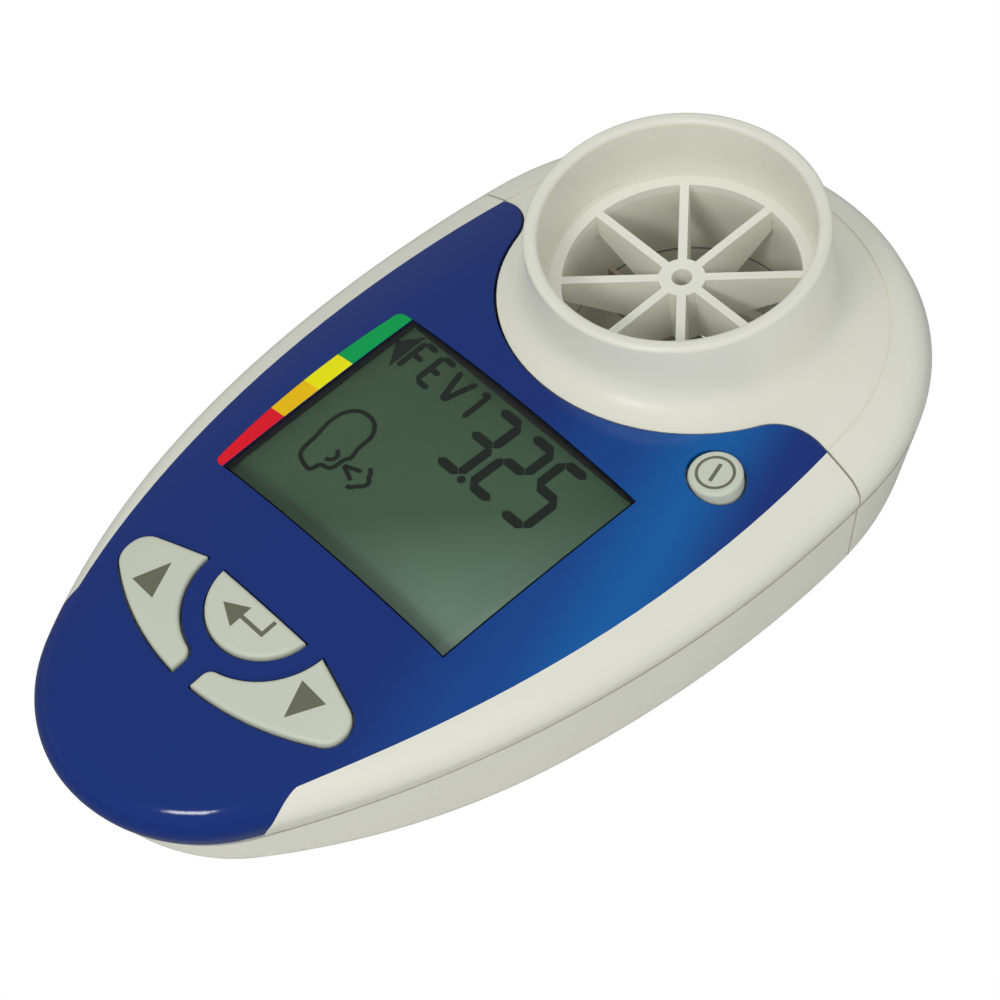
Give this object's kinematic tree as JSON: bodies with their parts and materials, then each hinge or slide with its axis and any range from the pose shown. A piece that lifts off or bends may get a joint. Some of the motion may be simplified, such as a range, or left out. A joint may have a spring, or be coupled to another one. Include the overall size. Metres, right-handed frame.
{
  "type": "peak flow meter",
  "caption": "Hand-held electronic peak flow meter: egg-shaped moulded case with a display, keys and a removable turbine flowhead.",
  "frame": {"origin": "on the resting plane under the middle of the overall length and width", "axes": "+X to the user's right when the display is read, +Y from the keys to the flowhead, +Z out of the display face"},
  "size_m": [0.0624, 0.1134, 0.032],
  "materials": {
    "case": "ivory white moulding, soft sheen",
    "fascia": "high gloss deep blue",
    "keys": "satin pale grey-cream",
    "clear": "clear polished lens",
    "zones": "printed red, amber, yellow and green",
    "lcd": "grey-green liquid crystal panel",
    "foam": "black closed-cell foam",
    "connector": "striped elastomer",
    "board": "green solder mask",
    "mat": "matte silicone",
    "switch": "black moulding",
    "sensor": "dark clear resin",
    "cell": "printed sleeve, bright ends",
    "contacts": "nickel plated",
    "screws": "zinc plated",
    "swirl": "ivory white moulding",
    "jewel": "polished synthetic jewel",
    "vane": "opaque black film",
    "shaft": "polished steel"
  },
  "bodies": {
    "case": {"upper_housing": "case", "lower_housing": "case", "front_fascia": "fascia", "display_window": "clear", "zone_strip": "zones", "display_panel": "lcd", "display_gasket": "foam", "display_connector": "connector", "circuit_board": "board", "keypad_mat": "mat", "power_switch": "switch", "buzzer": "switch", "infrared_emitter": "sensor", "infrared_detector": "sensor", "left_battery_cell": "cell", "right_battery_cell": "cell", "battery_plates": "contacts", "battery_springs": "contacts", "housing_screws": "screws"},
    "flowhead": {"flowhead_upper": "case", "flowhead_lower": "case", "inlet_swirl_plate": "swirl", "outlet_swirl_plate": "swirl", "upper_bearing": "jewel", "lower_bearing": "jewel"},
    "rotor": {"rotor_vane": "vane", "rotor_shaft": "shaft"},
    "door": {"battery_door": "case"},
    "up_button": {"up_key": "keys"},
    "down_button": {"down_key": "keys"},
    "enter_button": {"enter_key": "keys"},
    "power_button": {"power_key": "keys"}
  },
  "joints": [
    {"name": "flowhead_slide", "type": "slide", "parent": "case", "child": "flowhead", "axis": [0, 1, 0], "range_m": [0, 0.035]},
    {"name": "rotor_spin", "type": "hinge", "parent": "flowhead", "child": "rotor", "pos_m": [0, 0.0307, 0.011], "axis": [0, 0, 1], "continuous": true},
    {"name": "door_swing", "type": "hinge", "parent": "case", "child": "door", "pos_m": [0, 0.0068, 0], "axis": [1, 0, 0], "range_deg": [0, 45]},
    {"name": "up_press", "type": "slide", "parent": "case", "child": "up_button", "axis": [0, 0, -1], "range_m": [0, 0.0007], "stiffness_N_per_m": 1500},
    {"name": "down_press", "type": "slide", "parent": "case", "child": "down_button", "axis": [0, 0, -1], "range_m": [0, 0.0007], "stiffness_N_per_m": 1500},
    {"name": "enter_press", "type": "slide", "parent": "case", "child": "enter_button", "axis": [0, 0, -1], "range_m": [0, 0.0007], "stiffness_N_per_m": 1500},
    {"name": "power_press", "type": "slide", "parent": "case", "child": "power_button", "axis": [0, 0, -1], "range_m": [0, 0.0007], "stiffness_N_per_m": 1500}
  ]
}
